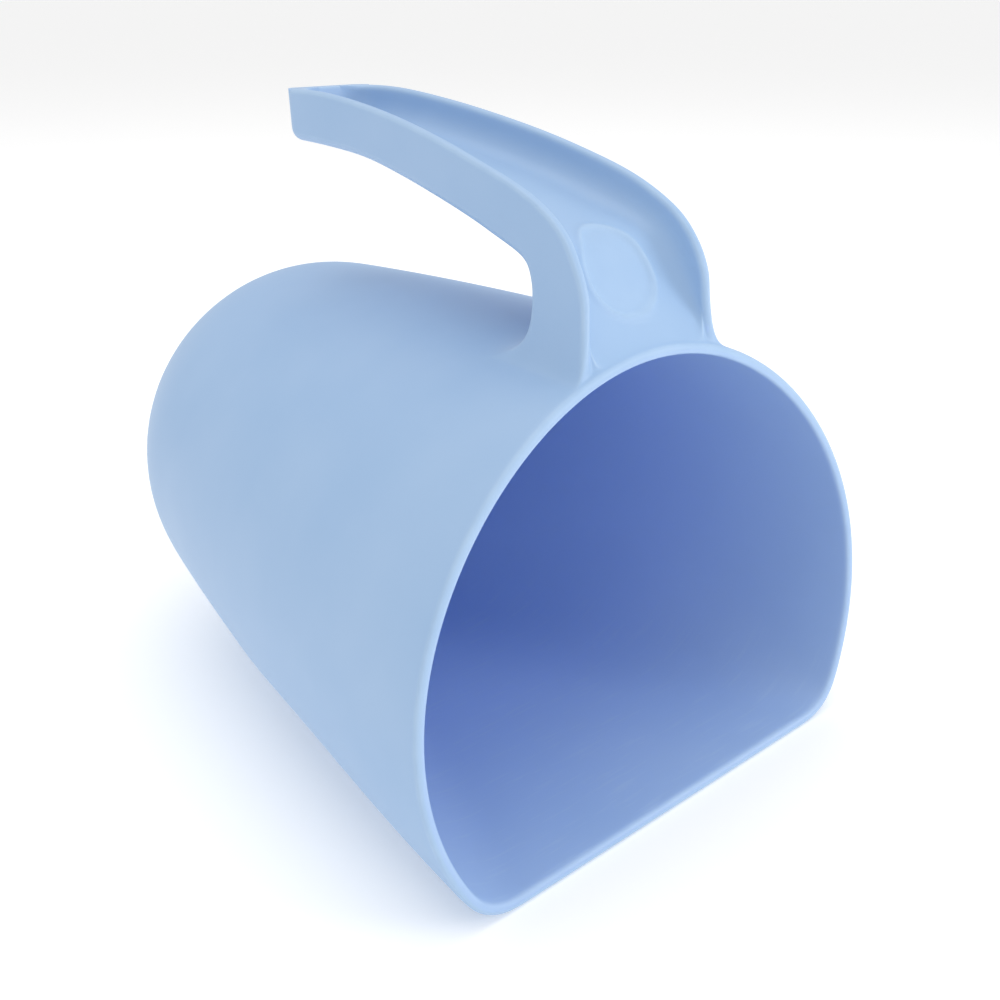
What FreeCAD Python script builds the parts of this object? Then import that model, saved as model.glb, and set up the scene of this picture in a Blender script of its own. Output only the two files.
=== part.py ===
"""Feed scoop: one plastic moulding, kept as five regions that meet face to face.

Row frame: +Z up, the mouth faces -Y, +X is to the right of a person who looks into the mouth
from behind the scoop. The origin is the centre of the footprint of the whole scoop, on the
underside of its flat floor. Everything is drawn in drawing axes whose origin is the front lip
of the floor, and moved once at the end.
"""
import FreeCAD
import Part
import math
import os
from FreeCAD import Vector

# ---- driving dimensions, millimetres and degrees ----
wall = 3.0                      # wall of the bowl

mouth_radius = 80.0             # the mouth is a circle with its bottom cut flat
mouth_centre_height = 44.7      # above the underside of the floor
mouth_tilt = 7.5                # the mouth leans back, so the lip of the floor leads
side_swell = 0.065              # the section is this much wider than a circle at mid height

taper_length = 223.8            # length over which the two taper laws run
taper_share = 0.402             # radius lost over that length, as a share of the mouth
barrel_bulge = 0.252            # fullness of the barrel between the ends
centre_rise = 26.8              # rise of the section's centre over the taper length
centre_sag = 7.9                # how far the rise lags behind at mid length

dome_start = 159.0              # where the barrel starts to close
dome_end = 220.2                # rearmost point of the closed end
dome_fullness = 1.84            # exponent: 2 is an ellipse, smaller is slimmer
gate_share = 0.045              # flat left at the pole, as a share of the local radius

mouth_corner = 15.8             # corner radius between floor and side at the mouth
tail_corner = 48.4              # the same, from the middle of the bowl to the back
corner_run = 90.0               # length over which the corner grows

floor_trim = 0.4                # the underside is drawn this much low, then cut flat

handle_wall = 2.9               # side walls of the channel handle
handle_end_wall = 3.5           # closed end of the channel
handle_corner = 2.5             # outer corner along the underside of the grip
channel_corner = 3.4            # corner between the channel's floor and its sides
tip_round = 5.0                 # rounding of the free end, seen from above
channel_clearance = 8.0         # how far the channel cutter stands above the rims

# Stations from the free end down to the crown of the bowl. Each gives the rim (y, z), the
# underside (y, z), half the width, and how much of the section is solid below the channel.
handle_stations = [
    (151.6, 178.0, 150.6, 163.8, 14.7, 0.31),
    (132.3, 178.0, 131.9, 163.2, 15.1, 0.31),
    (112.1, 176.1, 112.4, 161.8, 15.9, 0.32),
    (93.8, 173.4, 94.9, 158.8, 17.1, 0.33),
    (75.1, 169.8, 77.4, 155.2, 18.8, 0.33),
    (59.0, 165.9, 63.1, 151.8, 20.1, 0.34),
    (45.9, 162.2, 52.6, 148.6, 20.7, 0.35),
    (35.9, 158.1, 44.9, 146.1, 21.1, 0.41),
    (27.9, 152.9, 40.6, 144.0, 21.9, 0.45),
    (22.6, 146.2, 38.3, 140.7, 22.7, 0.45),
    (19.6, 139.5, 37.6, 137.2, 23.0, 0.53),
    (18.8, 133.4, 37.6, 131.9, 23.3, 0.70),
    (17.6, 126.9, 37.6, 125.9, 24.0, 0.95),
    (16.0, 116.4, 37.6, 116.4, 25.5, 1.12),
]

oval_share = 0.5                # blank oval recess, placed between two stations of the slope
oval_upper_station = 8
oval_lower_station = 10
oval_length = 26.4
oval_width = 22.4
oval_depth = 0.5

# ---- where the moulding is divided into nodes ----
grip_cut = 58.0                 # the grip runs back from here, the root lies ahead of it
floor_front_half_width = 60.0   # half the width of the floor region at the lip
floor_back_half_width = 26.0    # and at the dome

# ---- sampling of the freeform skins ----
half_ring_steps = 40            # even steps round one half of a section
fine_steps = 60                 # steps along each arc before the points are spread evenly
barrel_steps = 8
dome_steps = 12
sewing_gap = 0.01

deg = math.pi / 180.0
far = 400.0                     # larger than the scoop, for cutting blocks


# ---- bowl ----
def bowl_radius(y, inset):
    s = y / taper_length
    radius = mouth_radius * (1.0 - taper_share * s + barrel_bulge * s * (1.0 - s)) - inset
    if y > dome_start:
        along = min((y - dome_start) / (dome_end - inset - dome_start), 1.0)
        radius *= (1.0 - along ** dome_fullness) ** (1.0 / dome_fullness)
    return radius


def centre_height(y):
    s = y / taper_length
    return mouth_centre_height + centre_rise * s - centre_sag * s * (1.0 - s)


def lean(y):
    """Share of the mouth's tilt that a section keeps: all at the mouth, none at the dome."""
    return math.tan(mouth_tilt * deg) * max(0.0, 1.0 - y / dome_start)


def half_outline(y, inset):
    """(x, z) points, close together, from the crown down one side to the middle of the floor."""
    radius = bowl_radius(y, inset)
    centre = centre_height(y)
    ungrown = max(1.0 - max(y, 0.0) / corner_run, 0.0)
    corner = tail_corner - (tail_corner - mouth_corner) * ungrown ** 2
    corner = min(corner - inset, 0.8 * radius)
    floor = max(inset if inset else -floor_trim, centre - 0.985 * radius)
    drop = floor + corner - centre
    reach = math.sqrt((radius - corner) ** 2 - drop ** 2)
    turn = math.pi / 2 - math.atan2(drop, reach)
    widest = 1.0 + side_swell * math.sin(turn) ** 2
    points = []
    for i in range(fine_steps):
        angle = turn * i / fine_steps
        width = radius * math.sin(angle) * (1.0 + side_swell * math.sin(angle) ** 2)
        points.append((width, centre + radius * math.cos(angle)))
    for i in range(fine_steps + 1):
        angle = turn + (math.pi - turn) * i / fine_steps
        width = widest * (reach + corner * math.sin(angle))
        points.append((width, floor + corner + corner * math.cos(angle)))
    points.append((0.0, floor))
    return points


def spread_evenly(points, count):
    """The same outline as count + 1 points at equal distances along it."""
    lengths = [0.0]
    for (x0, z0), (x1, z1) in zip(points, points[1:]):
        lengths.append(lengths[-1] + math.hypot(x1 - x0, z1 - z0))
    even = []
    span = 0
    for i in range(count + 1):
        target = lengths[-1] * i / count
        while span < len(points) - 2 and lengths[span + 1] < target:
            span += 1
        share = (target - lengths[span]) / (lengths[span + 1] - lengths[span])
        (x0, z0), (x1, z1) = points[span], points[span + 1]
        even.append((x0 + (x1 - x0) * share, z0 + (z1 - z0) * share))
    return even


def section(y, inset):
    """Ring of evenly spaced points in space, mirrored about the middle plane."""
    half = spread_evenly(half_outline(y, inset), half_ring_steps)
    ring = half + [(-x, z) for x, z in reversed(half[1:-1])]
    return [Vector(x, y + z * lean(y), z) for x, z in ring]


def bowl_solid(inset, start):
    """Solid bounded by one skin of the bowl, a flat mouth and a small flat at the pole."""
    end = dome_end - inset
    last = math.acos(gate_share)
    places = [start + (dome_start - start) * i / barrel_steps for i in range(barrel_steps)]
    for i in range(dome_steps + 1):
        places.append(dome_start + (end - dome_start) * math.sin(last * i / dome_steps))
    rings = [section(y, inset) for y in places]
    poles = [list(line) for line in zip(*rings)]
    around = list(range(len(poles) + 1))
    along = list(range(len(rings) - 2))
    along_mults = [4] + [1] * (len(along) - 2) + [4]
    skin = Part.BSplineSurface()
    skin.buildFromPolesMultsKnots(
        poles, [1] * len(around), along_mults, around, along, True, False, 3, 3)
    side = skin.toShape()
    caps = [Part.Face(Part.Wire(edge)) for edge in side.Edges if edge.isClosed()]
    solid = Part.Solid(Part.Shell([side] + caps))
    solid.fix(sewing_gap, sewing_gap, sewing_gap)
    return solid


# ---- handle ----
def handle_section(rim, under, half_width, corner):
    """Closed U-shaped wire: flat top at the rim, two rounded corners along the underside."""
    top = Vector(0, rim[0], rim[1])
    bottom = Vector(0, under[0], under[1])
    up = (top - bottom).normalize()
    across = Vector(1, 0, 0)
    cut = 1.0 - math.sqrt(0.5)

    def at(x, height):
        return bottom + across * x + up * height

    height = (top - bottom).Length
    inner = half_width - corner
    bevel = half_width - corner * cut
    left_arc = Part.Arc(at(-half_width, corner), at(-bevel, corner * cut), at(-inner, 0))
    right_arc = Part.Arc(at(inner, 0), at(bevel, corner * cut), at(half_width, corner))
    return Part.Wire([
        Part.LineSegment(at(-half_width, height), at(-half_width, corner)).toShape(),
        left_arc.toShape(),
        Part.LineSegment(at(-inner, 0), at(inner, 0)).toShape(),
        right_arc.toShape(),
        Part.LineSegment(at(half_width, corner), at(half_width, height)).toShape(),
        Part.LineSegment(at(half_width, height), at(-half_width, height)).toShape(),
    ])


def handle_blank():
    """The handle with no channel in it."""
    wires = []
    for rim_y, rim_z, under_y, under_z, half_width, _ in handle_stations:
        rim = (rim_y, rim_z)
        under = (under_y, under_z)
        wires.append(handle_section(rim, under, half_width, handle_corner))
    return Part.makeLoft(wires, True, False)


def channel_cutter():
    """The open channel: the same stations, set in by the walls and raised above the rims."""
    wires = []
    for rim_y, rim_z, under_y, under_z, half_width, solid_share in handle_stations:
        along_y = rim_y - under_y
        along_z = rim_z - under_z
        length = math.hypot(along_y, along_z)
        floor = (under_y + along_y * solid_share, under_z + along_z * solid_share)
        over = 1.0 + channel_clearance / length
        top = (under_y + along_y * over, under_z + along_z * over)
        wires.append(handle_section(top, floor, half_width - handle_wall, channel_corner))
    cutter = Part.makeLoft(wires, True, False)
    free_end = handle_stations[0][2] - handle_end_wall
    return cutter.common(block(-far, far, -far, free_end, -far, far))


def round_tip(blank):
    """Round the two upright corners of the free end, seen from above."""
    (end, _, _, _, end_width, _), (before, _, _, _, width_before, _) = handle_stations[:2]
    start = end - tip_round
    side = end_width + (width_before - end_width) * tip_round / (end - before)
    for sign in (-1, 1):
        centre = Vector(sign * (side - tip_round), start, 0)
        corner = Part.makeBox(2 * tip_round, 2 * tip_round, far, Vector(-tip_round, 0, 0))
        corner.translate(centre + Vector(sign * tip_round, 0, 0))
        blank = blank.cut(corner.cut(Part.makeCylinder(tip_round, far, centre)))
    return blank


def channel_floor_point(station):
    """Middle of the channel's floor at a station, in the middle plane."""
    rim_y, rim_z, under_y, under_z, _, share = handle_stations[station]
    y = under_y + (rim_y - under_y) * share
    z = under_z + (rim_z - under_z) * share
    return Vector(0, y, z)


def oval_cutter():
    """Shallow blank oval sunk in the sloping floor of the channel."""
    upper = channel_floor_point(oval_upper_station)
    lower = channel_floor_point(oval_lower_station)
    slope = (upper - lower).normalize()
    across = Vector(1, 0, 0)
    outward = across.cross(slope)
    bottom = lower + (upper - lower) * oval_share - outward * oval_depth
    long_end = bottom + slope * (oval_length / 2)
    wide_end = bottom + across * (oval_width / 2)
    oval = Part.Ellipse(long_end, wide_end, bottom)
    face = Part.Face(Part.Wire(oval.toShape()))
    return face.extrude(outward * channel_clearance)


# ---- helpers and division into nodes ----
def block(x0, x1, y0, y1, z0, z1):
    return Part.makeBox(x1 - x0, y1 - y0, z1 - z0, Vector(x0, y0, z0))


def floor_region():
    """Wedge in plan that holds the flat floor and nothing else."""
    corners = [
        Vector(-floor_front_half_width, -far, -wall),
        Vector(floor_front_half_width, -far, -wall),
        Vector(floor_front_half_width, 0, -wall),
        Vector(floor_back_half_width, dome_start, -wall),
        Vector(-floor_back_half_width, dome_start, -wall),
        Vector(-floor_front_half_width, 0, -wall),
    ]
    outline = Part.makePolygon(corners + corners[:1])
    return Part.Face(outline).extrude(Vector(0, 0, 8 * wall))


def build_nodes():
    outer = bowl_solid(0.0, 0.0).cut(block(-far, far, -far, far, -far, 0))
    inner = bowl_solid(wall, -wall)
    shell = outer.cut(inner)
    behind = block(-far, far, dome_start, far, -far, far)
    floor = floor_region()
    front = shell.cut(behind)
    handle = round_tip(handle_blank()).cut(channel_cutter()).cut(oval_cutter()).cut(outer)
    grip_side = block(-far, far, grip_cut, far, -far, far)
    return {
        "bowl_wall": front.cut(floor),
        "bowl_floor": front.common(floor),
        "bowl_back": shell.common(behind),
        "handle_root": handle.cut(grip_side),
        "handle_grip": handle.common(grip_side),
    }


def main():
    os.makedirs("parts", exist_ok=True)
    nodes = build_nodes()
    middle = dome_end / 2
    for name, shape in nodes.items():
        shape.translate(Vector(0, -middle, 0))
        shape.exportStep("parts/" + name + ".step")
        box = shape.BoundBox
        print(name, shape.isValid(), len(shape.Solids), round(shape.Volume / 1000.0, 2), "cm3",
              [round(v, 1) for v in (box.XMin, box.XMax, box.YMin, box.YMax, box.ZMin, box.ZMax)])


main()
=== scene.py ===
"""Looks of the feed scoop: one moulded skin laid over the CAD regions, its plastic and a plain studio.

The skin is drawn in millimetres in drawing axes (front lip of the floor at y = 0, underside at
z = 0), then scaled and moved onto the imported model's box. It is built as one closed surface, so
the handle flows into the bowl, and divided afterwards into one piece for each CAD region.
"""
import math

import bpy
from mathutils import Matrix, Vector


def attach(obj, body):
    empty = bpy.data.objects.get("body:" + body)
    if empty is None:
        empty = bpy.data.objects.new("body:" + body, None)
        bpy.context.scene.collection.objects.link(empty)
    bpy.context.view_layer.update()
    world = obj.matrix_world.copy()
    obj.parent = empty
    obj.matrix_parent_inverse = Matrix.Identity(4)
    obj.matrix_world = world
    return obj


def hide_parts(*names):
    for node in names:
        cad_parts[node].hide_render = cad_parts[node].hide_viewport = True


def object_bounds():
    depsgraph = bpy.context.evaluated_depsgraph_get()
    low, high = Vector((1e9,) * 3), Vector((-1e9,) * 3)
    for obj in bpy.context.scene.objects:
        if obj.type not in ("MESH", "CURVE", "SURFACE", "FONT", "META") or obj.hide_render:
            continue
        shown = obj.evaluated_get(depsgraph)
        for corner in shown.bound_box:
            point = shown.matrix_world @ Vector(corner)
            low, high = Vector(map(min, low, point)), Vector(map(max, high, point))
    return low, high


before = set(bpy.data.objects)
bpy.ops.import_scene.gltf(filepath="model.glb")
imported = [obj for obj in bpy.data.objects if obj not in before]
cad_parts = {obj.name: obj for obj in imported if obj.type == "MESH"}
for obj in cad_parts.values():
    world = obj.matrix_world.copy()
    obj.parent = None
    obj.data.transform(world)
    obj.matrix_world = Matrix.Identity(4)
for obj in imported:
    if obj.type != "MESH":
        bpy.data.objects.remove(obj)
cad_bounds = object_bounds()
cad_low, cad_high = Vector(cad_bounds[0]), Vector(cad_bounds[1])

# ---- dimensions of the moulding, millimetres and degrees ----
WALL = 3.0
MOUTH_RADIUS = 80.0
MOUTH_CENTRE_HEIGHT = 44.7
MOUTH_TILT = 7.5
SIDE_SWELL = 0.065
TAPER_LENGTH = 223.8
TAPER_SHARE = 0.402
BARREL_BULGE = 0.252
CENTRE_RISE = 26.8
CENTRE_SAG = 7.9
DOME_START = 159.0
DOME_END = 220.2
DOME_FULLNESS = 1.84
MOUTH_CORNER = 15.8
TAIL_CORNER = 48.4
CORNER_RUN = 90.0
CORNER_LIMIT = 0.8              # the floor's corner is at most this share of a row's radius
FLOOR_LIMIT = 0.985             # the floor lies at most this share of the radius under the centre
RIM_ROUND = 1.1                 # rounding of both edges of the mouth's rim
RIM_FADE = 10.0                 # the outer rows make room for that rounding over this length

# Rings over the rim, on its outer and its inner side: how far in from the skin, and how far
# behind the mouth's plane, as shares of the rounding.
RIM_OUTER_RINGS = ((0.3, 0.3), (1.0, 0.0))
RIM_INNER_RINGS = ((1.0, 0.0), (0.3, 0.3), (0.0, 1.0))

# Handle stations from the crown of the bowl up and back to the free end: rim (y, z),
# underside (y, z), half the width, and how much of the section is solid below the channel.
HANDLE_STATIONS = [
    (18.8, 133.4, 37.6, 131.9, 23.3, 0.70),
    (19.6, 139.5, 37.6, 137.2, 23.0, 0.53),
    (22.6, 146.2, 38.3, 140.7, 22.7, 0.45),
    (27.9, 152.9, 40.6, 144.0, 21.9, 0.45),
    (35.9, 158.1, 44.9, 146.1, 21.1, 0.41),
    (45.9, 162.2, 52.6, 148.6, 20.7, 0.35),
    (59.0, 165.9, 63.1, 151.8, 20.1, 0.34),
    (75.1, 169.8, 77.4, 155.2, 18.8, 0.33),
    (93.8, 173.4, 94.9, 158.8, 17.1, 0.33),
    (112.1, 176.1, 112.4, 161.8, 15.9, 0.32),
    (132.3, 178.0, 131.9, 163.2, 15.1, 0.31),
    (151.6, 178.0, 150.6, 163.8, 14.7, 0.31),
]
HANDLE_WALL = 2.9
HANDLE_RIM_ROUND = 1.3
GRIP_CORNER = 2.5               # outer corner along the underside of the grip
CHANNEL_CORNER = 6.0            # corner between the channel's floor and its sides
GRIP_CORNER_LIMIT = 0.45        # largest share of the section's height that it takes
RIM_ROUND_LIMIT = 0.35          # largest share of the channel's depth that the rim's rounding takes
CHANNEL_CORNER_LIMIT = 0.6      # largest share of the channel's depth that its corner takes
TIP_ROUND = 5.0                 # rounding of the free end, seen from above
TIP_HEEL = 6.0                  # rounding of the free end's lower edge, seen from the side
END_WALL = 3.5
END_CORNER = 8.0                # inner corners of the channel's closed end, seen from above
END_RISE = 8.0                  # rounding between the channel's floor and its closed end

ROOT_HALF_ARC = 28.5            # the fillet's foot, measured along the crown from the middle
ROOT_BACK = 40.0                # the fillet's foot behind the post, on the bowl's own rows

# Rings where the channel's closed end curves in, as shares of its corner before the end wall.
END_CORNER_RINGS = (1.0, 0.7, 0.45, 0.27, 0.14, 0.05)

# Closing rings at the free end: distance from the end, and how much of the channel is closed.
END_RINGS = (
    (3.5, 0.4),
    (3.45, 0.75),
    (3.3, 0.93),
    (2.8, 1.0),
    (2.0, 1.0),
    (1.4, 1.0),
    (0.9, 1.0),
    (0.5, 1.0),
    (0.2, 1.0),
    (0.02, 1.0),
)

# ---- blank oval on the channel's sloping floor ----
OVAL_RUN = 11.3                 # from the lowest station's floor up the slope to the oval's middle
OVAL_HALF_LENGTH = 13.2
OVAL_HALF_WIDTH = 10.8
OVAL_EGG = 0.2                  # how much fuller the lower end is than the upper one
OVAL_EGG_REACH = 1.5            # half lengths from the middle over which that fullness changes
OVAL_RIDGE = 0.65               # height of its raised outline
OVAL_RIDGE_HALF_WIDTH = 1.0
OVAL_DISH = 0.45                # how far the inside is sunk
OVAL_FLOOR_STATIONS = 6         # stations that the slope runs through
OVAL_MARGIN = 4.0               # the skin is searched this far to each side of the oval
OVAL_MARGIN_BELOW = 8.0         # and this far under the slope's lower end
OVAL_FRONT = 10.0               # nothing nearer to the mouth than this belongs to the slope
OVAL_GAP = 2.5                  # a point of the slope is this near to the floor's line
OVAL_FACING = 0.5               # and its normal agrees with the floor's at least this much
OVAL_RIDGE_HIGHLIGHT = 0.6           # share of the pale edge colour on the raised outline, painted as a highlight
OVAL_INSIDE_HIGHLIGHT = 0.4          # and inside it, painted as light

# ---- division into the CAD regions ----
GRIP_CUT = 58.0
FLOOR_FRONT_HALF_WIDTH = 60.0
FLOOR_BACK_HALF_WIDTH = 26.0
FLOOR_CUT_HEIGHT = 8 * WALL

# ---- colours, linear ----
PLASTIC_DEEP = (0.335, 0.50, 0.74, 1.0)
PLASTIC_PALE = (0.375, 0.535, 0.765, 1.0)
# bluer colour painted inside the bowl, stronger deeper in: painted bounce light from the blue walls
PAINTED_INSIDE_BOUNCE = (0.36, 0.51, 0.86, 1.0)
# pale colour of convex edges and scuffs: edge wear, and along the rims a painted highlight
PLASTIC_WEAR_AND_HIGHLIGHT = (0.50, 0.66, 0.84, 1.0)
PAPER = (0.96, 0.96, 0.96, 1.0)
SKY = (1.0, 1.0, 1.0, 1.0)

# ---- plastic: patterns across a metre, heights in metres, and how strongly each one shows ----
NOISE_LOW = 0.3                 # a pattern uses the noise between these two values
NOISE_HIGH = 0.7
CLOUD_SCALE = 22.0
PATCH_SCALE = 140.0             # patches where the pale edges, wear and painted highlight, are weaker
PATCH_WEAKEST = 0.45
WEAR_AND_HIGHLIGHT_START = 0.15               # edge share at which the wear and painted highlight begin
WEAR_AND_HIGHLIGHT_FULL = 0.8                 # edge share at which it is full
WEAR_AND_HIGHLIGHT_STRENGTH = 0.42
SCRATCH_SCALE = (60.0, 900.0, 60.0)
SCRATCH_LOW = 0.56
SCRATCH_HIGH = 0.7
SCUFF_BOTTOM = 0.001            # scuffs are full below this height
SCUFF_TOP = 0.022               # and gone above this one
SCUFF_PALE = 0.22
SCUFF_ROUGH = 0.2
SMEAR_SCALE = 9.0
ROUGH_LOW = 0.40
ROUGH_HIGH = 0.52
RIPPLE_SCALE = 45.0
RIPPLE_HEIGHT = 0.0004
RIPPLE_STRENGTH = 0.25
GRAIN_SCALE = 1500.0
GRAIN_HEIGHT = 0.00004
GRAIN_STRENGTH = 0.35
PLASTIC_IOR = 1.5
PLASTIC_SPECULAR = 0.35

# ---- studio, metres ----
PAPER_REACH = 60.0
PAPER_GAP = 0.0002              # between the scoop's underside and the paper
PAPER_GLOW = 0.2
PAPER_ROUGHNESS = 0.9
SKY_STRENGTH = 0.74

# ---- camera, degrees and drawing millimetres ----
CAMERA_AZIMUTH = -42.349
CAMERA_ELEVATION = 22.734
CAMERA_DISTANCE = 340.4
CAMERA_TARGET = (-7.2, 64.8, 72.0)
CAMERA_LENS = 43.51
SENSOR_WIDTH = 36.0

# ---- sampling ----
ACROSS = 24                     # steps from the middle to a corner, under and over the handle
UPRIGHT = 12                    # steps up one side of the handle
AROUND = 52                     # steps from the handle's foot down to the middle of the floor
CORNER_STEPS = 5                # steps round half of the grip's corner, and round the channel's
RIM_STEPS = 3                   # steps round each edge of the handle's rim
TOP_STEPS = 2                   # steps across the top of the handle's rim
SIDE_STEPS = 3                  # steps down the side of the channel
FLOOR_STEPS = ACROSS - 1 - TOP_STEPS - RIM_STEPS - SIDE_STEPS - CORNER_STEPS
BARREL_ROWS = 22
DOME_ROWS = 16
POLE_SHARE = 0.992              # the dome's last row stands at this share of its reach
HANDLE_RINGS = 44
FILLET_RINGS = 7
CAP_RINGS = (0.66, 0.33)        # rings inside a closing ring, as shares of its size
FINE = 60                       # points along each arc of a section before it is resampled
FLOOR_LINE_STEPS = 4            # points of the channel's floor line for each station
CROWN_ROUNDS = 4                # rounds of the search for the crown over a point
KNEE_ROUNDS = 12                # rounds of the search for the point where a line meets the bowl
KNEE_LEAST_FALL = 0.35          # a line counts as falling at least this steeply
FOOT_TOP = 139.0                # the handle's foot is relaxed below this height
FOOT_CLEAR = 0.8                # and above this height over the bowl
FOOT_FADE = 4.0
FOOT_PASSES = 10
FOOT_PULL = 0.6                 # share of the way to its neighbours that a point goes each time
INSIDE_AT_MOUTH = 0.35          # share of the painted bounce light at the mouth
INSIDE_RUN = 70.0               # depth at which the painted bounce light is at its strongest
MOUTH_TOP = 126.0               # above this there is only the handle
EDGE_RADIUS = 2.0               # an edge this sharp, or sharper, counts as a full edge
LEAST_SQUARED_SPAN = 0.04       # shorter spans count as this long, squared
LEAST_LEVEL = 0.05              # keeps the middle of the oval from dividing by nothing
LEAST_LENGTH = 1e-9             # the same for two points in one place


# ---- bowl ----
def bowl_radius(y, inset):
    """Radius of the barrel's round part at a row; it shrinks to nothing at the end of the dome."""
    back = y / TAPER_LENGTH
    radius = MOUTH_RADIUS * (1.0 - TAPER_SHARE * back + BARREL_BULGE * back * (1.0 - back)) - inset
    if y > DOME_START:
        along = min((y - DOME_START) / (DOME_END - inset - DOME_START), 1.0)
        radius *= (1.0 - along ** DOME_FULLNESS) ** (1.0 / DOME_FULLNESS)
    return radius


def centre_height(y):
    back = y / TAPER_LENGTH
    return MOUTH_CENTRE_HEIGHT + CENTRE_RISE * back - CENTRE_SAG * back * (1.0 - back)


def lean(y):
    """Share of the mouth's tilt that a row keeps: all at the mouth, none at the dome."""
    return math.tan(math.radians(MOUTH_TILT)) * max(0.0, 1.0 - y / DOME_START)


def half_outline(y, inset):
    """(x, z) points, close together, from the crown down one side to the middle of the floor."""
    radius = bowl_radius(y, inset)
    centre = centre_height(y)
    ungrown = max(1.0 - max(y, 0.0) / CORNER_RUN, 0.0)
    corner = TAIL_CORNER - (TAIL_CORNER - MOUTH_CORNER) * ungrown ** 2
    corner = min(corner - inset, CORNER_LIMIT * radius)
    floor = max(inset, centre - FLOOR_LIMIT * radius)
    drop = floor + corner - centre
    reach = math.sqrt((radius - corner) ** 2 - drop ** 2)
    turn = math.pi / 2 - math.atan2(drop, reach)
    widest = 1.0 + SIDE_SWELL * math.sin(turn) ** 2
    points = []
    for i in range(FINE):
        angle = turn * i / FINE
        width = radius * math.sin(angle) * (1.0 + SIDE_SWELL * math.sin(angle) ** 2)
        points.append((width, centre + radius * math.cos(angle)))
    for i in range(FINE + 1):
        angle = turn + (math.pi - turn) * i / FINE
        width = widest * (reach + corner * math.sin(angle))
        points.append((width, floor + corner + corner * math.cos(angle)))
    points.append((0.0, floor))
    return points


def ring_stops():
    """Shares of a half outline's length: fine over the handle's foot, then even."""
    half_mouth = outline_length(half_outline(0.0, 0.0))
    foot = ROOT_HALF_ARC / half_mouth
    stops = [foot * i / ACROSS for i in range(ACROSS)]
    return stops + [foot + (1.0 - foot) * i / AROUND for i in range(AROUND + 1)]


def outline_length(points):
    return sum(math.dist(a, b) for a, b in zip(points, points[1:]))


def points_at(points, stops):
    """Points of an outline at the given shares of its length."""
    lengths = [0.0]
    for a, b in zip(points, points[1:]):
        lengths.append(lengths[-1] + math.dist(a, b))
    found = []
    span = 0
    for stop in stops:
        target = lengths[-1] * stop
        while span < len(points) - 2 and lengths[span + 1] < target:
            span += 1
        share = (target - lengths[span]) / max(lengths[span + 1] - lengths[span], LEAST_LENGTH)
        a, b = points[span], points[span + 1]
        found.append((a[0] + (b[0] - a[0]) * share, a[1] + (b[1] - a[1]) * share))
    return found


def bowl_ring(y, inset, stops):
    """Whole ring, index 0 at the crown, the middle of the floor half way round."""
    half = points_at(half_outline(y, inset), stops)
    ring = half + [(-x, z) for x, z in reversed(half[1:-1])]
    return [Vector((x, y + z * lean(y), z)) for x, z in ring]


def bowl_rows():
    """Row places from the mouth to the pole: fine behind the mouth, where the handle stands."""
    rows = [ROOT_BACK * j / UPRIGHT for j in range(UPRIGHT)]
    rows += [ROOT_BACK + (DOME_START - ROOT_BACK) * j / BARREL_ROWS for j in range(BARREL_ROWS)]
    return rows


def dome_rows(inset):
    """Row places over the dome, closer together towards its pole."""
    reach = DOME_END - inset - DOME_START
    rows = []
    for j in range(DOME_ROWS + 1):
        along = math.sin(j / DOME_ROWS * math.pi / 2) * POLE_SHARE ** (j / DOME_ROWS)
        rows.append(DOME_START + reach * along)
    return rows


# ---- handle ----
def spline(values, place):
    """Catmull-Rom curve through a list of values, at a place counted in list steps."""
    i = min(int(place), len(values) - 2)
    t = place - i
    b, c = values[i], values[i + 1]
    a = values[i - 1] if i > 0 else 2 * b - c
    d = values[i + 2] if i + 2 < len(values) else 2 * c - b
    return b + 0.5 * t * (c - a + t * (2 * a - 5 * b + 4 * c - d + t * (3 * (b - c) + d - a)))


def station_at(place):
    """The six values of a handle station, read between the listed ones."""
    return [spline([station[k] for station in HANDLE_STATIONS], place) for k in range(6)]


def arc(cx, cz, radius, start, end, steps):
    """Points after the first one of an arc; angles in degrees from +x."""
    points = []
    for i in range(1, steps + 1):
        angle = math.radians(start + (end - start) * i / steps)
        points.append((cx + radius * math.cos(angle), cz + radius * math.sin(angle)))
    return points


def line(start, end, steps):
    """Points after the first one of a straight line."""
    points = []
    for i in range(1, steps + 1):
        share = i / steps
        x = start[0] + (end[0] - start[0]) * share
        h = start[1] + (end[1] - start[1]) * share
        points.append((x, h))
    return points


def half_section(half_width, height, floor, side_wall):
    """(x, h) points from the middle of the underside, over the rim, to the channel's middle."""
    corner = min(GRIP_CORNER, GRIP_CORNER_LIMIT * height)
    depth = height - floor
    rim = min(HANDLE_RIM_ROUND, RIM_ROUND_LIMIT * depth)
    inner_corner = min(CHANNEL_CORNER, CHANNEL_CORNER_LIMIT * depth)
    inner = half_width - side_wall
    middle = half_width - corner
    upright_steps = UPRIGHT - CORNER_STEPS - RIM_STEPS
    points = [(0.0, 0.0)]
    points += line((0.0, 0.0), (middle, 0.0), ACROSS - CORNER_STEPS)
    points += arc(middle, corner, corner, -90, -45, CORNER_STEPS)
    points += arc(middle, corner, corner, -45, 0, CORNER_STEPS)
    points += line((half_width, corner), (half_width, height - rim), upright_steps)
    points += arc(half_width - rim, height - rim, rim, 0, 60, RIM_STEPS)
    points += arc(half_width - rim, height - rim, rim, 60, 90, 1)
    points += line((half_width - rim, height), (inner + rim, height), TOP_STEPS)
    points += arc(inner + rim, height - rim, rim, 90, 180, RIM_STEPS)
    points += line((inner, height - rim), (inner, floor + inner_corner), SIDE_STEPS)
    points += arc(inner - inner_corner, floor + inner_corner, inner_corner, 0, -90, CORNER_STEPS)
    points += line((inner - inner_corner, floor), (0.0, floor), FLOOR_STEPS)
    return points


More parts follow.
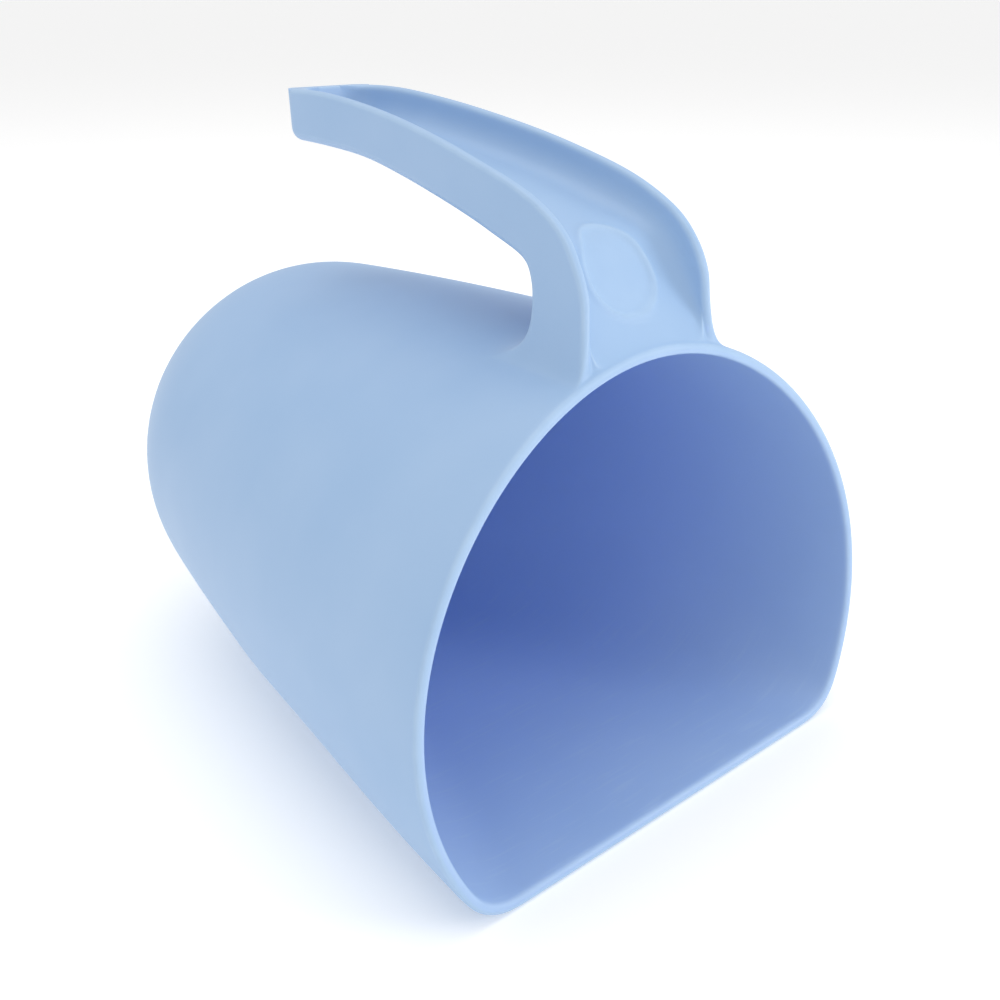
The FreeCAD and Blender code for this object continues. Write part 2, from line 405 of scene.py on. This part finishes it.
def place_section(half, under, up):
    """A half section set in space on its underside point, mirrored into a whole ring."""
    ring = half + [(-x, h) for x, h in reversed(half[1:-1])]
    return [Vector((x, under.y + up.y * h, under.z + up.z * h)) for x, h in ring]


def rounding(radius, from_tangent):
    """How far a quarter circle has turned in, at a distance past the point where it starts."""
    return radius - math.sqrt(radius ** 2 - min(max(from_tangent, 0.0), radius) ** 2)


def handle_ring(place, from_end=math.inf, close=0.0):
    """A ring of the handle; close lifts the channel's floor to the rim at the free end."""
    rim_y, rim_z, under_y, under_z, half_width, share = station_at(place)
    rim = Vector((0, rim_y, rim_z))
    under = Vector((0, under_y, under_z))
    up = rim - under
    height = up.length
    up.normalize()
    heel = rounding(TIP_HEEL, TIP_HEEL - from_end)
    side = rounding(TIP_ROUND, TIP_ROUND - from_end)
    from_wall = from_end - END_WALL
    side_wall = HANDLE_WALL + rounding(END_CORNER, END_CORNER - from_wall) - side
    rise = rounding(END_RISE, END_RISE - from_wall)
    floor = height * (share + (1.0 - share) * close) + rise * (1.0 - close) - heel
    half = half_section(half_width - side, height - heel, floor, side_wall)
    return place_section(half, under + up * heel, up)


def handle_rings():
    """Every ring of the handle, from its lowest station to the closed free end."""
    last = len(HANDLE_STATIONS) - 1
    end_span = HANDLE_STATIONS[-1][2] - HANDLE_STATIONS[-2][2]
    end_start = END_WALL + END_CORNER
    start_of_end = last - end_start / end_span
    rings = [handle_ring(start_of_end * k / HANDLE_RINGS) for k in range(HANDLE_RINGS)]
    for share in END_CORNER_RINGS:
        from_end = END_WALL + END_CORNER * share
        rings.append(handle_ring(last - from_end / end_span, from_end))
    for from_end, close in END_RINGS:
        rings.append(handle_ring(last - from_end / end_span, from_end, close))
    return rings


# ---- one surface ----
class Skin:
    """Vertices and quads of the closed surface, with the region of each quad."""

    def __init__(self):
        self.points = []
        self.faces = []
        self.regions = []

    def add_ring(self, points):
        first = len(self.points)
        self.points.extend(points)
        return list(range(first, first + len(points)))

    def join(self, ring, following, region):
        count = len(ring)
        for i in range(count):
            k = (i + 1) % count
            self.add_face([ring[i], ring[k], following[k], following[i]], region)

    def cap(self, ring, region):
        """Close a ring with smaller copies of it and one middle point."""
        middle = sum((self.points[i] for i in ring), Vector()) / len(ring)
        for share in CAP_RINGS:
            smaller = self.add_ring([middle + (self.points[i] - middle) * share for i in ring])
            self.join(ring, smaller, region)
            ring = smaller
        self.points.append(middle)
        hub = len(self.points) - 1
        for i in range(len(ring)):
            self.add_face([ring[i], ring[(i + 1) % len(ring)], hub], region)

    def add_face(self, corners, region):
        self.faces.append(corners[::-1])
        self.regions.append(region)


def under_handle(column, row, columns):
    """True for the quads of the bowl's outer skin that the handle's foot replaces."""
    near = min(column, columns - 1 - column)
    return row < UPRIGHT and near < ACROSS


def add_bowl(skin):
    """Outer skin, rounded rim and inner skin; returns the outer rings near the mouth."""
    stops = ring_stops()
    outer = []
    for y in bowl_rows() + dome_rows(0.0):
        behind_rim = RIM_ROUND * max(0.0, 1.0 - y / RIM_FADE)
        outer.append(skin.add_ring(bowl_ring(y + behind_rim, 0.0, stops)))
    columns = len(outer[0])
    for row in range(len(outer) - 1):
        for i in range(columns):
            if not under_handle(i, row, columns):
                k = (i + 1) % columns
                corners = [outer[row][i], outer[row + 1][i], outer[row + 1][k], outer[row][k]]
                skin.add_face(corners, "bowl")
    skin.cap(list(reversed(outer[-1])), "bowl")
    before = outer[0]
    for inset, depth in RIM_OUTER_RINGS:
        ring = skin.add_ring(bowl_ring(RIM_ROUND * depth, RIM_ROUND * inset, stops))
        skin.join(before, ring, "bowl")
        before = ring
    for inset, depth in RIM_INNER_RINGS:
        ring = skin.add_ring(bowl_ring(RIM_ROUND * depth, WALL - RIM_ROUND * inset, stops))
        skin.join(before, ring, "bowl")
        before = ring
    for y in bowl_rows()[1:] + dome_rows(WALL):
        ring = skin.add_ring(bowl_ring(y, WALL, stops))
        skin.join(before, ring, "bowl")
        before = ring
    skin.cap(before, "bowl")
    return outer


def foot_loop(outer):
    """The hole in the outer skin, in the order of a handle ring."""
    columns = len(outer[0])
    right = [outer[UPRIGHT][i] for i in range(ACROSS)]
    right += [outer[j][ACROSS] for j in range(UPRIGHT, 0, -1)]
    right += [outer[0][i] for i in range(ACROSS, -1, -1)]
    left = [outer[0][columns - i] for i in range(1, ACROSS)]
    left += [outer[j][columns - ACROSS] for j in range(0, UPRIGHT + 1)]
    left += [outer[UPRIGHT][columns - i] for i in range(ACROSS - 1, 0, -1)]
    return right + left


def crown_height(x, y):
    """Height of the bowl's outer skin over a point near its crown."""
    row = y
    for _ in range(CROWN_ROUNDS):
        row = y - lean(row) * (centre_height(row) + bowl_radius(row, 0.0))
    radius = bowl_radius(max(row, 0.0), 0.0)
    return centre_height(max(row, 0.0)) + math.sqrt(radius ** 2 - x ** 2)


def fillet_knee(first, second):
    """Where a line of the handle, carried on down, meets the bowl."""
    direction = (first - second).normalized()
    knee = first.copy()
    for _ in range(KNEE_ROUNDS):
        gap = knee.z - crown_height(knee.x, knee.y)
        knee += direction * (gap / max(-direction.z, KNEE_LEAST_FALL))
    mouth = knee.z * math.tan(math.radians(MOUTH_TILT)) + RIM_ROUND
    knee.y = max(knee.y, mouth)
    return knee


def add_handle(skin, outer):
    """A curved fillet from the bowl's opening to the first ring, then the handle to its end."""
    rings = handle_rings()
    foot = foot_loop(outer)
    knees = [fillet_knee(a, b) for a, b in zip(rings[0], rings[2])]
    before = foot
    for step in range(1, FILLET_RINGS):
        t = step / FILLET_RINGS
        ring = []
        for start, knee, end in zip((skin.points[i] for i in foot), knees, rings[0]):
            ring.append(start * (1 - t) ** 2 + knee * (2 * t * (1 - t)) + end * t ** 2)
        after = skin.add_ring(ring)
        skin.join(before, after, "handle")
        before = after
    for ring in rings:
        after = skin.add_ring(ring)
        skin.join(before, after, "handle")
        before = after
    skin.cap(before, "handle")


def region_of(kind, centre):
    """CAD region that a quad of the finished surface belongs to."""
    if kind == "handle":
        return "handle_grip" if centre.y > GRIP_CUT else "handle_root"
    if centre.y > DOME_START:
        return "bowl_back"
    narrowing = (FLOOR_FRONT_HALF_WIDTH - FLOOR_BACK_HALF_WIDTH) / DOME_START
    half_width = FLOOR_FRONT_HALF_WIDTH - narrowing * centre.y
    if centre.z < FLOOR_CUT_HEIGHT and abs(centre.x) < half_width:
        return "bowl_floor"
    return "bowl_wall"


# ---- details of the finished surface ----
def channel_floor_line():
    """(y, z) points of the channel's floor in the middle plane, from the foot up to the grip."""
    points = []
    for k in range(FLOOR_LINE_STEPS * (OVAL_FLOOR_STATIONS - 1) + 1):
        rim_y, rim_z, under_y, under_z, _, share = station_at(k / FLOOR_LINE_STEPS)
        floor_y = under_y + (rim_y - under_y) * share
        floor_z = under_z + (rim_z - under_z) * share
        points.append(Vector((floor_y, floor_z)))
    return points


def place_on_line(point, points):
    """Run along a line of points, signed distance from it, and its normal there.

    The line's first span carries on down past its start.
    """
    best = None
    run = 0.0
    for i, (a, b) in enumerate(zip(points, points[1:])):
        along = b - a
        length = along.length
        along = along / length
        reach = (point - a).dot(along)
        reach = min(reach, length) if i == 0 else min(max(reach, 0.0), length)
        foot = a + along * reach
        normal = Vector((-along.y, along.x))
        gap = (point - foot).length
        if best is None or gap < abs(best[1]):
            best = (run + reach, gap if (point - foot).dot(normal) >= 0 else -gap, normal)
        run += length
    return best


def oval_lift(x, run):
    """Height of the oval's raised outline and sunk inside over the plain floor, and the share of
    painted highlight.
    """
    up = (run - OVAL_RUN) / OVAL_HALF_LENGTH
    fuller = OVAL_EGG * max(min(up, OVAL_EGG_REACH), -OVAL_EGG_REACH)
    half_width = OVAL_HALF_WIDTH * (1.0 - fuller)
    level = max(math.hypot(x / half_width, up), LEAST_LEVEL)
    outside = (level - 1.0) / level * math.hypot(x, run - OVAL_RUN)
    ridge = math.exp(-(outside / OVAL_RIDGE_HALF_WIDTH) ** 2)
    sunk = min(max(0.5 - outside / (2 * OVAL_RIDGE_HALF_WIDTH), 0.0), 1.0)
    sunk = sunk * sunk * (3 - 2 * sunk)
    lift = OVAL_RIDGE * ridge - OVAL_DISH * sunk
    # painted highlight on the raised outline and painted light inside the oval
    pale = OVAL_RIDGE_HIGHLIGHT * ridge + OVAL_INSIDE_HIGHLIGHT * sunk
    return lift, pale


def press_oval(surface, shares):
    """Shape the oval, and paint its ridge and inside with a share of the pale edge colour as a painted
    highlight.
    """
    line_points = channel_floor_line()
    low = line_points[0].y - OVAL_MARGIN_BELOW
    end = line_points[-1].x
    widest = OVAL_HALF_WIDTH + OVAL_MARGIN
    for vertex in surface.vertices:
        x, y, z = vertex.co
        if abs(x) > widest or z < low or y > end or y < OVAL_FRONT:
            continue
        run, gap, normal = place_on_line(Vector((y, z)), line_points)
        facing = vertex.normal.y * normal.x + vertex.normal.z * normal.y
        if abs(gap) < OVAL_GAP and facing > OVAL_FACING:
            lift, pale = oval_lift(x, run)
            # the painted highlight goes into the edge shares
            shares[vertex.index] = max(shares[vertex.index], pale)
            vertex.co.y += normal.x * lift
            vertex.co.z += normal.y * lift


def soften_foot(surface):
    """Relax the handle's foot, so its ridges melt into the bowl."""
    kinds = surface.attributes["kind"].data
    weights = {}
    for face in surface.polygons:
        if not kinds[face.index].value:
            continue
        for i in face.vertices:
            x, y, z = surface.vertices[i].co
            if z < FOOT_TOP and i not in weights:
                over = (z - crown_height(x, y) - FOOT_CLEAR) / FOOT_FADE
                weights[i] = min(max(over, 0.0), 1.0, (FOOT_TOP - z) / FOOT_FADE)
    near = {i: [] for i, weight in weights.items() if weight > 0.0}
    for edge in surface.edges:
        a, b = edge.vertices
        if a in near:
            near[a].append(b)
        if b in near:
            near[b].append(a)
    for _ in range(FOOT_PASSES):
        moved = {}
        for i, others in near.items():
            middle = sum((surface.vertices[k].co for k in others), Vector()) / len(others)
            moved[i] = surface.vertices[i].co.lerp(middle, FOOT_PULL * weights[i])
        for i, place in moved.items():
            surface.vertices[i].co = place


def edge_shares(surface):
    """For each vertex, 0 on a flat, 1 on a sharp convex edge, -1 in a sharp hollow."""
    bends = [0.0] * len(surface.vertices)
    counts = [0] * len(surface.vertices)
    for edge in surface.edges:
        first, second = (surface.vertices[i] for i in edge.vertices)
        span = second.co - first.co
        squared = max(span.length_squared, LEAST_SQUARED_SPAN)
        bends[first.index] -= 2 * first.normal.dot(span) / squared
        bends[second.index] += 2 * second.normal.dot(span) / squared
        counts[first.index] += 1
        counts[second.index] += 1
    shares = []
    for bend, count in zip(bends, counts):
        mean = bend / max(count, 1)
        shares.append(max(min(mean * EDGE_RADIUS, 1.0), -1.0))
    return shares


def depth_inside(vertex):
    """Share of the painted bounce light: 0 on the outside, about a third on the inner skin at the
    mouth, 1 well inside the bowl.
    """
    x, y, z = vertex.co
    row = y - z * lean(y)
    centre = Vector((0.0, min(y, DOME_START), centre_height(y)))
    if z >= MOUTH_TOP or vertex.normal.dot(centre - vertex.co) <= 0.0:
        return 0.0
    deep = min(max(row / INSIDE_RUN, 0.0), 1.0)
    return INSIDE_AT_MOUTH + (1.0 - INSIDE_AT_MOUTH) * deep


def build_surface():
    """The whole skin, subdivided once, in drawing millimetres."""
    skin = Skin()
    outer = add_bowl(skin)
    add_handle(skin, outer)
    mesh = bpy.data.meshes.new("scoop_surface")
    mesh.from_pydata([tuple(p) for p in skin.points], [], skin.faces)
    kinds = mesh.attributes.new("kind", "INT", "FACE")
    kinds.data.foreach_set("value", [1 if region == "handle" else 0 for region in skin.regions])
    holder = bpy.data.objects.new("scoop_surface", mesh)
    bpy.context.scene.collection.objects.link(holder)
    subdivide = holder.modifiers.new("subdivide", "SUBSURF")
    subdivide.levels = 1
    subdivide.render_levels = 1
    graph = bpy.context.evaluated_depsgraph_get()
    surface = bpy.data.meshes.new_from_object(holder.evaluated_get(graph))
    bpy.data.objects.remove(holder)
    soften_foot(surface)
    surface.update()
    shares = edge_shares(surface)
    press_oval(surface, shares)
    surface.update()
    return surface, shares


def split_surface(surface, shares, scale, material):
    """One object for each CAD region, keeping the whole surface's normals along the cuts."""
    normals = [vertex.normal.copy() for vertex in surface.vertices]
    kinds = surface.attributes["kind"].data
    groups = {}
    for face in surface.polygons:
        kind = "handle" if kinds[face.index].value else "bowl"
        groups.setdefault(region_of(kind, face.center), []).append(face)
    for region, faces in groups.items():
        used = sorted({i for face in faces for i in face.vertices})
        index = {old: new for new, old in enumerate(used)}
        points = []
        for i in used:
            x, y, z = surface.vertices[i].co
            points.append((x * scale, cad_low.y + y * scale, z * scale))
        mesh = bpy.data.meshes.new(region + "_skin")
        mesh.from_pydata(points, [], [[index[i] for i in face.vertices] for face in faces])
        mesh.polygons.foreach_set("use_smooth", [True] * len(mesh.polygons))
        mesh.normals_split_custom_set_from_vertices([normals[i] for i in used])
        # share of the painted bounce light inside the bowl
        inside = mesh.attributes.new("inside", "FLOAT", "POINT")
        inside.data.foreach_set("value", [depth_inside(surface.vertices[i]) for i in used])
        # edge share, which sets the pale edges of wear and painted highlight
        edge = mesh.attributes.new("edge", "FLOAT", "POINT")
        edge.data.foreach_set("value", [shares[i] for i in used])
        mesh.materials.append(material)
        piece = bpy.data.objects.new(region + "_skin", mesh)
        bpy.context.scene.collection.objects.link(piece)
        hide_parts(region)
        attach(piece, "root")


# ---- plastic ----
class Nodes:
    """Small helper that adds and links shader nodes."""

    MIX_SHARE = 0               # sockets of a mix node that is set to colours
    MIX_FIRST = 6
    MIX_SECOND = 7
    MIX_RESULT = 2

    def __init__(self, material):
        self.tree = material.node_tree

    def add(self, kind, inputs=None, **settings):
        node = self.tree.nodes.new(kind)
        for name, value in settings.items():
            setattr(node, name, value)
        for name, value in (inputs or {}).items():
            if isinstance(value, bpy.types.NodeSocket):
                self.tree.links.new(value, node.inputs[name])
            else:
                node.inputs[name].default_value = value
        return node

    def noise(self, where, scale, detail):
        node = self.add("ShaderNodeTexNoise", {"Vector": where, "Scale": scale, "Detail": detail})
        return node.outputs["Fac"]

    def remap(self, value, low, high, to_low, to_high):
        node = self.add("ShaderNodeMapRange", {
            "Value": value, "From Min": low, "From Max": high, "To Min": to_low, "To Max": to_high})
        return node.outputs["Result"]

    def multiply(self, first, second):
        node = self.add("ShaderNodeMath", {0: first, 1: second}, operation="MULTIPLY")
        return node.outputs["Value"]

    def add_values(self, first, second):
        node = self.add("ShaderNodeMath", {0: first, 1: second}, operation="ADD")
        return node.outputs["Value"]

    def attribute(self, name):
        return self.add("ShaderNodeAttribute", attribute_name=name).outputs["Fac"]

    def mix(self, share, first, second):
        inputs = {self.MIX_SHARE: share, self.MIX_FIRST: first, self.MIX_SECOND: second}
        return self.add("ShaderNodeMix", inputs, data_type="RGBA").outputs[self.MIX_RESULT]

    def bump(self, height, distance, strength, normal=None):
        inputs = {"Height": height, "Distance": distance, "Strength": strength}
        if normal:
            inputs["Normal"] = normal
        return self.add("ShaderNodeBump", inputs).outputs["Normal"]


def plastic_material():
    """Blue moulded plastic: cloudy pigment, painted bounce light inside the bowl, pale edges of wear
    and painted highlight, a fine grain and dull scuffs.
    """
    material = bpy.data.materials.new("blue_plastic")
    material.use_nodes = True
    nodes = Nodes(material)
    shader = material.node_tree.nodes["Principled BSDF"]
    where = nodes.add("ShaderNodeTexCoord").outputs["Object"]

    clouds = nodes.noise(where, CLOUD_SCALE, detail=3.0)
    cloudy = nodes.remap(clouds, NOISE_LOW, NOISE_HIGH, 0.0, 1.0)
    colour = nodes.mix(cloudy, PLASTIC_DEEP, PLASTIC_PALE)
    # bluer deeper inside the bowl: painted bounce light
    colour = nodes.mix(nodes.attribute("inside"), colour, PAINTED_INSIDE_BOUNCE)

    patches = nodes.noise(where, PATCH_SCALE, detail=2.0)
    patchy = nodes.remap(patches, NOISE_LOW, NOISE_HIGH, PATCH_WEAKEST, 1.0)
    # paler on convex edges: edge wear, and a painted highlight along the rims
    edge_wear_and_highlight = nodes.remap(nodes.attribute("edge"), WEAR_AND_HIGHLIGHT_START, WEAR_AND_HIGHLIGHT_FULL, 0.0, WEAR_AND_HIGHLIGHT_STRENGTH)
    colour = nodes.mix(nodes.multiply(edge_wear_and_highlight, patchy), colour, PLASTIC_WEAR_AND_HIGHLIGHT)

    stretched = nodes.add("ShaderNodeMapping", {"Vector": where, "Scale": SCRATCH_SCALE})
    scratches = nodes.noise(stretched.outputs["Vector"], scale=1.0, detail=2.0)
    scratched = nodes.remap(scratches, SCRATCH_LOW, SCRATCH_HIGH, 0.0, 1.0)
    height = nodes.add("ShaderNodeSeparateXYZ", {"Vector": where}).outputs["Z"]
    near_ground = nodes.remap(height, SCUFF_BOTTOM, SCUFF_TOP, 1.0, 0.0)
    scuffs = nodes.multiply(scratched, near_ground)
    colour = nodes.mix(nodes.multiply(scuffs, SCUFF_PALE), colour, PLASTIC_WEAR_AND_HIGHLIGHT)
    nodes.tree.links.new(colour, shader.inputs["Base Color"])

    smears = nodes.noise(where, SMEAR_SCALE, detail=4.0)
    smeared = nodes.remap(smears, NOISE_LOW, NOISE_HIGH, ROUGH_LOW, ROUGH_HIGH)
    rough = nodes.add_values(smeared, nodes.multiply(scuffs, SCUFF_ROUGH))
    nodes.tree.links.new(rough, shader.inputs["Roughness"])

    ripples = nodes.noise(where, RIPPLE_SCALE, detail=1.0)
    rippled = nodes.bump(ripples, RIPPLE_HEIGHT, RIPPLE_STRENGTH)
    grain = nodes.noise(where, GRAIN_SCALE, detail=2.0)
    grained = nodes.bump(grain, GRAIN_HEIGHT, GRAIN_STRENGTH, rippled)
    nodes.tree.links.new(grained, shader.inputs["Normal"])
    shader.inputs["IOR"].default_value = PLASTIC_IOR
    shader.inputs["Specular IOR Level"].default_value = PLASTIC_SPECULAR
    return material


# ---- studio ----
def add_area(name, location, target, size, power):
    """A white disc light that faces its target."""
    light = bpy.data.lights.new(name, "AREA")
    light.shape = "DISK"
    light.size = size
    light.energy = power
    holder = bpy.data.objects.new(name, light)
    holder.location = location
    holder.rotation_euler = (Vector(target) - Vector(location)).to_track_quat("-Z", "Y").to_euler()
    bpy.context.scene.collection.objects.link(holder)


def add_paper():
    """A wide pale floor under the scoop."""
    corners = [
        (-PAPER_REACH, -PAPER_REACH, 0),
        (PAPER_REACH, -PAPER_REACH, 0),
        (PAPER_REACH, PAPER_REACH, 0),
        (-PAPER_REACH, PAPER_REACH, 0),
    ]
    mesh = bpy.data.meshes.new("studio_floor")
    mesh.from_pydata(corners, [], [(0, 1, 2, 3)])
    floor = bpy.data.objects.new("studio_floor", mesh)
    floor.location.z = cad_low.z - PAPER_GAP
    bpy.context.scene.collection.objects.link(floor)
    paper = bpy.data.materials.new("paper")
    paper.use_nodes = True
    inputs = paper.node_tree.nodes["Principled BSDF"].inputs
    inputs["Base Color"].default_value = PAPER
    inputs["Emission Color"].default_value = PAPER
    inputs["Emission Strength"].default_value = PAPER_GLOW
    inputs["Roughness"].default_value = PAPER_ROUGHNESS
    mesh.materials.append(paper)


def add_sky():
    world = bpy.data.worlds.new("studio")
    world.use_nodes = True
    inputs = world.node_tree.nodes["Background"].inputs
    inputs["Color"].default_value = SKY
    inputs["Strength"].default_value = SKY_STRENGTH
    bpy.context.scene.world = world


def add_studio():
    """Paper, even light from all round, a soft light overhead and a fill into the mouth."""
    add_paper()
    add_sky()
    add_area("overhead", location=(0.0, 0.1, 1.6), target=(0.0, 0.0, 0.1), size=1.6, power=8.5)
    add_area("mouth_fill", location=(0.9, -1.2, 0.45), target=(0.0, -0.08, 0.06), size=0.7, power=6.5)
    bpy.context.scene.view_settings.view_transform = "Standard"


def add_camera(scale):
    """The viewing angle: from the front left, above the mouth."""
    azimuth = math.radians(CAMERA_AZIMUTH)
    elevation = math.radians(CAMERA_ELEVATION)
    back = Vector((
        math.sin(azimuth) * math.cos(elevation),
        -math.cos(azimuth) * math.cos(elevation),
        math.sin(elevation),
    ))
    place = (Vector(CAMERA_TARGET) + back * CAMERA_DISTANCE) * scale
    place.y += cad_low.y
    camera = bpy.data.cameras.new("camera")
    camera.sensor_width = SENSOR_WIDTH
    camera.lens = CAMERA_LENS
    holder = bpy.data.objects.new("camera", camera)
    holder.location = place
    holder.rotation_euler = (-back).to_track_quat("-Z", "Y").to_euler()
    bpy.context.scene.collection.objects.link(holder)
    bpy.context.scene.camera = holder


# The skin's drawing millimetres become metres by matching the CAD model's width.
surface, edges = build_surface()
widest = max(vertex.co.x for vertex in surface.vertices)
metres = cad_high.x / widest
add_camera(metres)
split_surface(surface, edges, metres, plastic_material())
add_studio()
